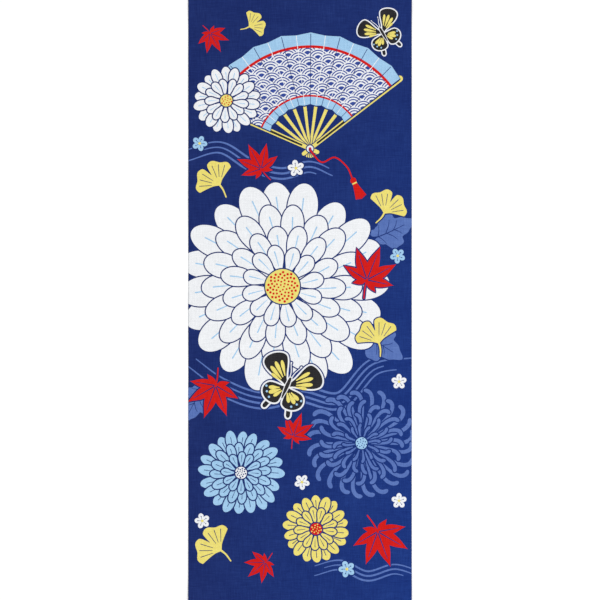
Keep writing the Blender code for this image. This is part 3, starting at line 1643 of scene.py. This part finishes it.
@dataclass(frozen=True)
class DyesAndPaintedLight:
    """How the dyes took, with painted light: the navy is drawn lighter towards the lower right of the face,
    as if the light fell more brightly there.

    lit_navy: The navy where its painted light is brightest.
    painted_light: How far the navy is drawn towards that on the left, how much further on the right, and
    how much
        further still at the lower right.
    brightest_at: How far down the cloth the brightest painted light is, as a share of its length.
    reverse_fade: How far the reverse is from the face's colours towards undyed cotton.
    edge_fade: How far the yarn round the edges is.
    """

    flat: Flat
    lit_navy: tuple[int, int, int] = (31, 56, 126)
    painted_light: tuple[float, float, float] = (0.10, 0.20, 0.68)
    brightest_at: float = 0.7
    reverse_fade: float = 0.34
    edge_fade: float = 0.06

    def painted_light_at(self, places: np.ndarray) -> np.ndarray:
        """Finds how much painted light the navy is given, more towards the lower right.

        Args:
            places: Points on the cloth.

        Returns:
            From 0 to 1 at each place.
        """
        left, right, lower = self.painted_light
        across, up = (places / self.flat.half).T / 2 + 0.5
        down = np.clip((1 - up) / self.brightest_at, 0, 1)
        return np.clip(left + across * (right + lower * down), 0, 1)

    def colours(self, dyes: np.ndarray, places: np.ndarray, fade: float = 0.0) -> np.ndarray:
        """Finds the cloth's colours, with the painted light on the navy.

        Args:
            dyes: The number of the dye at each place.
            places: Points on the cloth.
            fade: How far they are from the face's colours towards undyed cotton.

        Returns:
            The linear colour at each place.
        """
        full = np.array([dye.linear for dye in Dye])[dyes]
        ground = dyes == list(Dye).index(Dye.NAVY)
        # painted light: the navy ground is drawn lighter towards the lower right, as if lit more brightly
        # there
        lit_share = np.where(ground, self.painted_light_at(places), 0.0)[:, None]
        taken = full + (linear_colour(self.lit_navy) - full) * lit_share
        return taken + (Dye.WHITE.linear - taken) * fade


@dataclass(frozen=True)
class BakeSheet:
    """Where the cloth's two sides lie in a square map.

    The face lies there in two halves side by side, and the reverse on its side below them.

    side: The square's side, in millimetres of the face.
    overhang: How far a triangle of one half may reach into the other half.
    """

    flat: Flat
    side: float = 684.0
    gap: float = 4.0
    overhang: float = 9.0
    reverse_scale: float = 0.62

    def face(self, corners: np.ndarray) -> np.ndarray:
        """Maps triangles of the face.

        Args:
            corners: The places of each triangle's corners, (triangles, corners, 2).

        Returns:
            The places in the map, in the same order.
        """
        upper = corners[:, :, 1].mean(1)[:, None, None] > 0
        across, along = self.flat.half + self.gap
        left = np.array([across, self.side - along])
        right = np.array([self.side - across, self.side - self.gap - self.overhang])
        return (corners + np.where(upper, left, right)) / self.side

    def reverse(self, corners: np.ndarray) -> np.ndarray:
        """Maps triangles of the reverse in the same way, as seen from below and on their side."""
        turned = (corners + self.flat.half)[:, :, ::-1]
        return (turned * self.reverse_scale + self.gap) / self.side


class Edges(Enum):
    """Two edges of the cloth that face each other: the number of the axis from one to the other."""

    SIDES = 0
    ENDS = 1


@dataclass(frozen=True)
class Side:
    """One side of the cloth: its face, its reverse, or the upper or lower half of its rim.

    faces: The numbers of the points round each of its faces.
    dyes: The number of each face's dye in the order of Dye.
    fade: How far its colours are towards undyed cotton.
    mapped: What maps the corners of its faces.
    """

    faces: np.ndarray
    dyes: np.ndarray
    fade: float
    mapped: Callable[[np.ndarray], np.ndarray]


@dataclass(frozen=True)
class Tenugui(SubAssembly):
    """The cloth itself, a printed face and a paler reverse, in millimetres.

    flat: Its size, right out to its rounded edges.
    rim: How far these stand out past the flat of the cloth.
    selvedge_band: How wide the thicker, closer weave down each long side is.
    selvedge_extra: How much thicker that is.
    edge_margin: How close to the edge of the flat a place counts as on it.
    """

    flat: Flat
    stencil: Stencil
    thickness: float = 0.40
    rim: float = 0.20
    selvedge_band: float = 1.6
    selvedge_extra: float = 0.10
    edge_margin: float = 0.01

    @property
    def lie(self) -> Lie:
        """How the cloth lies."""
        return Lie(self.flat)

    @property
    def dyes_and_painted_light(self) -> DyesAndPaintedLight:
        """How the dyes took, and the painted light on the navy."""
        return DyesAndPaintedLight(self.flat)

    def thickness_at(self, places: np.ndarray) -> np.ndarray:
        """How thick the cloth is at each place: a little more in its selvedges."""
        from_side = self.flat.margins(places)[:, 0]
        return self.thickness + self.selvedge_extra * np.exp(-((from_side / self.selvedge_band) ** 4))

    def outward(self, places: np.ndarray) -> np.ndarray:
        """Which way the cloth's edge faces at each place on it: sideways, endways, or both."""
        on_edge = self.flat.inset(self.rim).margins(places) < self.edge_margin
        return np.where(on_edge, np.sign(places), 0.0)

    def points(self, flat: np.ndarray, edge: np.ndarray) -> tuple[np.ndarray, np.ndarray]:
        """Places the face, the reverse and the middle of the rim.

        Args:
            flat: The places of the cut cloth.
            edge: The numbers of those round its edge.

        Returns:
            The points in millimetres, and a unit normal for each.
        """
        under, deep = self.lie.height(flat), self.thickness_at(flat)
        up = self.lie.slope(flat)
        out = np.pad(self.outward(flat), ((0, 0), (0, 1)))
        face = np.column_stack([flat, under + deep])
        reverse = np.column_stack([flat, under])
        rim = (face + reverse)[edge] / 2 + out[edge] * self.rim
        normals = np.concatenate([up + out * up[:, 2:], out * up[:, 2:] - up, out[edge]])
        return np.concatenate([face, reverse, rim]), normals / np.linalg.norm(normals, axis=1)[:, None]

    def sides(self, facets: Facets, outer: np.ndarray) -> list[Side]:
        """Lists the face, the reverse, and the two halves of the rim that joins them.

        Args:
            facets: The cut cloth.
            outer: The numbers of the sides of its triangles that are its edge.

        Returns:
            The sides, on the points in the order in which they are placed.
        """
        count, (start, end) = len(facets.places), facets.sides[outer].T
        middle = np.zeros(count, int)
        middle[start] = 2 * count + np.arange(len(start))
        upper = np.stack([end, start, middle[start], middle[end]], 1)
        lower = np.stack([middle[end], middle[start], start + count, end + count], 1)
        sheet, edge_dyes, dyes_and_painted_light = BakeSheet(self.flat), facets.dyes[outer // 3], self.dyes_and_painted_light
        return [
            Side(facets.triangles, facets.dyes, 0.0, sheet.face),
            Side(facets.triangles[:, ::-1] + count, facets.dyes, dyes_and_painted_light.reverse_fade, sheet.reverse),
            Side(upper, edge_dyes, dyes_and_painted_light.edge_fade, sheet.face),
            Side(lower, edge_dyes, dyes_and_painted_light.edge_fade, sheet.reverse),
        ]

    def build(self) -> bpy.types.Object:
        """Makes the closed, coloured and mapped mesh of the cloth.

        Returns:
            The finished piece.
        """
        facets = Cutter(self.flat.inset(self.rim)).cut(self.stencil)
        LOG.info("print: %d patches, cut into %d triangles", len(self.stencil.patches), len(facets.dyes))
        outer = facets.edges()[0]
        points, normals = self.points(facets.places, facets.sides[outer, 0])
        faces, colours, weave, baked = [], [], [], []
        for side in self.sides(facets, outer):
            corners = points[side.faces][:, :, :2]
            places = corners.reshape(-1, 2)
            dyes = np.repeat(side.dyes, side.faces.shape[1])
            faces += side.faces.tolist()
            colours.append(self.dyes_and_painted_light.colours(dyes, places, side.fade))
            weave.append((places + self.flat.half) * MM)
            baked.append(side.mapped(corners).reshape(-1, 2))

        mesh = bpy.data.meshes.new("tenugui_cloth")
        mesh.from_pydata((points * MM).tolist(), [], faces)
        mesh.shade_smooth()
        mesh.normals_split_custom_set_from_vertices(normals.tolist())
        store_colours(mesh, np.concatenate(colours), "CORNER")
        for name, maps in (("weave", weave), ("OFBake", baked)):
            mesh.uv_layers.new(name=name).data.foreach_set("uv", np.concatenate(maps).ravel())
        mesh.materials.append(DyedCotton(self.flat.width * MM).material("dyed_cotton", Dye.NAVY.linear))
        return new_object("tenugui_cloth", mesh)

    def edge_points(self, name: str, edges: Edges, pitch: float, inset: float, stagger: float = 0.0,
                    fade: float = 0.0) -> bpy.types.Object:
        """Marks where yarn leaves the cloth, along two of its edges that face each other.

        Args:
            name: The name of what they become.
            edges: Which two edges.
            pitch: From one point to the next.
            inset: How far in from the edge they are.
            stagger: How far they are moved along, the other way on the other edge.
            fade: How far their colour is towards undyed cotton.

        Returns:
            A piece of bare points, each with its "turn" in radians and its colour "dye".
        """
        far, end = np.roll(self.flat.half, -edges.value)
        along = np.arange(pitch - end, end - pitch / 2, pitch)
        side = np.repeat([1, -1], len(along))
        places = np.stack([side * (far - inset), np.tile(along, 2) + side * stagger], 1)
        places = np.roll(places, edges.value, 1)
        middle = self.lie.height(places) + self.thickness / 2
        mesh = bpy.data.meshes.new(name)
        mesh.from_pydata((np.column_stack([places, middle]) * MM).tolist(), [], [])
        turns = mesh.attributes.new("turn", "FLOAT", "POINT")
        turns.data.foreach_set("value", np.where(side > 0, 0.0, math.pi))
        store_colours(mesh, self.dyes_and_painted_light.colours(self.stencil.dyes_at(places), places, fade), "POINT")
        return new_object(name, mesh)


# Yarn outside the weave ----------------------------------------------------------------------


class Draw(Enum):
    """What may be drawn for a point: its type, and the numbers of its two inputs and its output."""

    NUMBER = ("FLOAT", 2, 3, 1)
    WHOLE = ("INT", 4, 5, 2)


class YarnTree:
    """A Geometry Nodes tree that sets yarn shapes on the points of a piece."""

    def __init__(self, name: str, sizes: dict[str, float]) -> None:
        """Starts the tree.

        Args:
            name: Its name.
            sizes: Its inputs and their values.
        """
        self.tree = bpy.data.node_groups.new(name, "GeometryNodeTree")
        self.nodes = Nodes(self.tree)
        self.sizes = sizes
        self.tree.interface.new_socket("Points", in_out="INPUT", socket_type="NodeSocketGeometry")
        self.tree.interface.new_socket("Yarn", in_out="OUTPUT", socket_type="NodeSocketGeometry")
        for size in sizes:
            self.tree.interface.new_socket(size, in_out="INPUT", socket_type="NodeSocketFloat")

    def size(self, name: str) -> Link:
        """One of the tree's inputs."""
        return self.nodes.add("NodeGroupInput", out=name)

    def random(self, low: Link | float, high: Link | float, seed: int, draw: Draw = Draw.NUMBER) -> Link:
        """Draws a number between two others for each point.

        Args:
            low: The least it may be.
            high: The most it may be.
            seed: What the draw starts from.
            draw: What is drawn.

        Returns:
            The number.
        """
        kind, least, most, out = draw.value
        values = {least: low, most: high, "Seed": seed}
        return self.nodes.add("FunctionNodeRandomValue", values, out=out, data_type=kind)

    def either_way(self, name: str, seed: int) -> Link:
        """Draws a number between one of the tree's inputs and its negative for each point."""
        return self.random(0 - self.size(name), self.size(name), seed)

    def turn(self) -> Link:
        """Which way the edge faces that each point is on."""
        return self.nodes.add("GeometryNodeInputNamedAttribute", {"Name": "turn"}, data_type="FLOAT")

    def yarn(self, line: Link) -> Link:
        """Gives a line four sides and closed ends."""
        section = self.nodes.add("GeometryNodeCurvePrimitiveCircle",
                                 {"Resolution": 4, "Radius": self.size("Yarn radius")})
        return self.nodes.add("GeometryNodeCurveToMesh",
                              {"Curve": line, "Profile Curve": section, "Fill Caps": True})

    def grow(self, piece: bpy.types.Object, lines: list[Link], turn: Link, scale: Link) -> bpy.types.Object:
        """Sets one of the lines as yarn on each point, and keeps the result as a plain mesh.

        Args:
            piece: The piece of bare points.
            lines: The curves to choose from.
            turn: Each one's rotation.
            scale: Each one's scale.

        Returns:
            The finished piece.
        """
        add = self.nodes.add
        choice = add("GeometryNodeGeometryToInstance", {0: [self.yarn(line) for line in lines]})
        number = self.random(0, len(lines) - 1, seed=5, draw=Draw.WHOLE)
        placed = add("GeometryNodeInstanceOnPoints", {
            "Points": self.size("Points"), "Instance": choice, "Pick Instance": True,
            "Instance Index": number, "Rotation": turn, "Scale": scale})
        real = add("GeometryNodeRealizeInstances", {0: placed})
        smooth = add("GeometryNodeSetShadeSmooth", {0: real})
        cotton = LooseYarn().material("loose_yarn", Dye.NAVY.linear)
        dressed = add("GeometryNodeSetMaterial", {0: smooth, "Material": cotton})
        self.nodes.feed(self.tree.nodes.new("NodeGroupOutput"), {0: dressed})
        return self.applied(piece)

    def applied(self, piece: bpy.types.Object) -> bpy.types.Object:
        """Runs the finished tree on a piece, and keeps what comes out as its plain mesh.

        Args:
            piece: The piece of bare points.

        Returns:
            The finished piece.
        """
        modifier = piece.modifiers.new("yarn", "NODES")
        modifier.node_group = self.tree
        sockets = {item.name: item.identifier for item in self.tree.interface.items_tree}
        for size, value in self.sizes.items():
            modifier[sockets[size]] = value
        depsgraph = bpy.context.evaluated_depsgraph_get()
        grown = bpy.data.meshes.new_from_object(piece.evaluated_get(depsgraph), depsgraph=depsgraph)
        piece.modifiers.remove(modifier)
        piece.data = grown
        return piece


@dataclass(frozen=True)
class LooseEnds(SubAssembly):
    """The cut ends of the warp threads, worked loose from the first few picks of the weft.

    root: How far inside the cut each one starts.
    bows: How far each shape has bent sideways half way along, and by its tip.
    arch: How far it rises half way along.
    taper: How much thinner it is at its tip.
    splay: The most that one turns sideways by itself, in degrees.
    clump: The most that a bunch of them turns sideways together.
    clump_scale: How often in a metre the bunches change.
    droop: The sine of the steepest slope at which one comes down to the surface.
    settled: The least and the most share of that slope which it takes.
    roll: The most that it rolls over, in radians.
    """

    cloth: Tenugui
    radius: float = 0.10
    root: float = 0.6
    shortest: float = 0.9
    longest: float = 3.0
    bows: tuple[tuple[float, float], ...] = (
        (0.10, 0.0), (-0.22, 0.1), (0.30, 0.42), (-0.14, -0.36), (0.45, 0.1), (-0.40, -0.75))
    arch: float = 0.08
    taper: float = 0.35
    splay: float = 11.0
    clump: float = 55.0
    clump_scale: float = 420.0
    droop: float = 0.25
    settled: tuple[float, float] = (0.5, 1.0)
    roll: float = 0.08

    def lines(self, nodes: Nodes) -> list[Link]:
        """Draws each shape of a thread, one millimetre long and thinner towards its tip.

        Args:
            nodes: The tree's nodes.

        Returns:
            Their curves.
        """
        lines = []
        for middle, tip in self.bows:
            bow, end = (middle * MM, 0.5 * MM, self.arch * MM), (tip * MM, MM, 0)
            line = nodes.add("GeometryNodeCurveQuadraticBezier",
                             {"Resolution": 5, "Start": (0, 0, 0), "Middle": bow, "End": end})
            thickness = 1.0 - nodes.add("GeometryNodeSplineParameter") * self.taper
            lines.append(nodes.add("GeometryNodeSetCurveRadius", {"Curve": line, "Radius": thickness}))
        return lines

    def build(self) -> bpy.types.Object:
        """Makes the loose ends at both ends of the cloth.

        Returns:
            The finished piece.
        """
        tree = YarnTree("loose_ends", {
            "Yarn radius": self.radius * MM,
            "Shortest": self.shortest,
            "Longest": self.longest,
            "Splay": math.radians(self.splay),
            "Clump": math.radians(self.clump),
            "Droop": self.droop,
        })
        nodes = tree.nodes
        place = nodes.add("GeometryNodeInputPosition")
        bunch = (nodes.noise(place, self.clump_scale, 1.0) - 0.5) * tree.size("Clump")
        yaw = tree.turn() + tree.either_way("Splay", seed=1) + bunch
        length = tree.random(tree.size("Shortest"), tree.size("Longest"), seed=4)
        drop = (nodes.part("Z", place) - tree.size("Yarn radius")) / (length * MM)
        steep = nodes.math("ARCSINE", nodes.math("MINIMUM", drop, tree.size("Droop")))
        least, most = self.settled
        pitch = steep * tree.random(-most, -least, seed=2)
        turn = nodes.vector(pitch, tree.random(-self.roll, self.roll, seed=3), yaw)
        points = self.cloth.edge_points("loose_warp_ends", Edges.ENDS, THREAD_PITCH, self.root,
                                        fade=self.cloth.dyes_and_painted_light.edge_fade)
        return tree.grow(points, self.lines(nodes), turn, nodes.vector(1.0, length, 1.0))


@dataclass(frozen=True)
class SelvedgeTurns(SubAssembly):
    """The weft's turns round the last warp thread, one for every two picks down each side.

    turn: The radius of each turn.
    pressed: The least share of that to which it may be pressed flatter.
    inset: How far inside the cloth's edge its middle is.
    tilt: The most that it leans up or down, in degrees.
    """

    cloth: Tenugui
    radius: float = 0.10
    turn: float = 0.36
    pressed: float = 0.7
    inset: float = 0.30
    tilt: float = 12.0

    def build(self) -> bpy.types.Object:
        """Makes the turns down both sides.

        Returns:
            The finished piece.
        """
        tree = YarnTree("selvedge_turns", {
            "Yarn radius": self.radius * MM,
            "Turn radius": self.turn * MM,
            "Tilt": math.radians(self.tilt),
        })
        nodes = tree.nodes
        half_turn = nodes.add("GeometryNodeCurveArc", {
            "Resolution": 6, "Radius": tree.size("Turn radius"),
            "Start Angle": -math.pi / 2, "Sweep Angle": math.pi}, mode="RADIUS")
        turn = nodes.vector(tree.either_way("Tilt", seed=1), 0.0, tree.turn())
        scale = nodes.vector(tree.random(self.pressed, 1.0, seed=2), 1.0, 1.0)
        pitch = 2 * THREAD_PITCH
        points = self.cloth.edge_points("selvedge_turns", Edges.SIDES, pitch, self.inset, stagger=pitch / 4)
        return tree.grow(points, [half_turn], turn, scale)


# The studio ----------------------------------------------------------------------------------


@dataclass(frozen=True)
class Studio:
    """A pale floor under soft light, and a camera straight above the cloth, in metres.

    framed: How much of the cloth's length the picture takes in.
    lens: The camera's focal length, and "sensor" its sensor's width, in millimetres.
    """

    framed: float = 0.8966
    lens: float = 100.0
    sensor: float = 36.0
    floor_reach: float = 60.0
    sky: float = 0.78
    lamp_watts: float = 55.0
    lamp_size: float = 3.0
    lamp_place: tuple[float, float, float] = (1.3, -0.4, 3.0)

    def floor(self) -> None:
        """Lays the floor, which isn't part of the object."""
        rim = disc(self.floor_reach)
        mesh = bpy.data.meshes.new("floor")
        mesh.from_pydata([(x, y, 0) for x, y in rim], [], [range(len(rim))])
        paper = PalePaper()
        mesh.materials.append(paper.material("pale_paper", (paper.brightness,) * 3))
        new_object("floor", mesh)

    def light(self) -> None:
        """Sets an even white sky and one broad soft lamp, a little to the right."""
        world = bpy.data.worlds.new("studio")
        world.use_nodes = True
        Nodes(world.node_tree).feed(world.node_tree.nodes["Background"],
                                    {"Strength": self.sky, "Color": (1, 1, 1, 1)})
        bpy.context.scene.world = world
        data = bpy.data.lights.new("softbox", "AREA")
        data.shape = "DISK"
        data.size = self.lamp_size
        data.energy = self.lamp_watts
        lamp = new_object("softbox", data)
        lamp.location = self.lamp_place
        lamp.rotation_euler = Vector(self.lamp_place).to_track_quat("Z", "Y").to_euler()

    def camera(self, face_height: float) -> None:
        """Looks straight down at the middle of the cloth, with its top at the top of the picture.

        Args:
            face_height: How high the printed face is.
        """
        data = bpy.data.cameras.new("camera")
        data.lens = self.lens
        data.sensor_width = self.sensor
        data.clip_end = 2 * self.floor_reach
        camera = new_object("camera", data)
        camera.location = (0, 0, face_height + self.framed * self.lens / self.sensor)
        bpy.context.scene.camera = camera

    def set_up(self, face_height: float) -> None:
        """Sets up everything round the cloth, and shows colours as they are.

        Args:
            face_height: How high the printed face is.
        """
        self.floor()
        self.light()
        self.camera(face_height)
        bpy.context.scene.view_settings.view_transform = "Standard"


def main() -> None:
    """Builds the towel and what it is seen in."""
    logging.basicConfig(level=logging.INFO, format="%(name)s: %(message)s", force=True)
    low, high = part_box("cloth")
    width, length, _ = high - low
    cloth = Tenugui(Flat(width / MM, length / MM), AutumnScatter().stencil())
    parts = (cloth, LooseEnds(cloth), SelvedgeTurns(cloth))
    pieces = [part.build() for part in parts]
    for part, piece in zip(parts, pieces):
        part.dress(piece)
        LOG.info("%s: %d faces, %s mm", piece.name, len(piece.data.polygons),
                 " x ".join(f"{side / MM:.1f}" for side in piece.dimensions))
    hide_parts("cloth")
    Studio().set_up(cloth.thickness * MM)


if __name__ == "__main__":
    main()
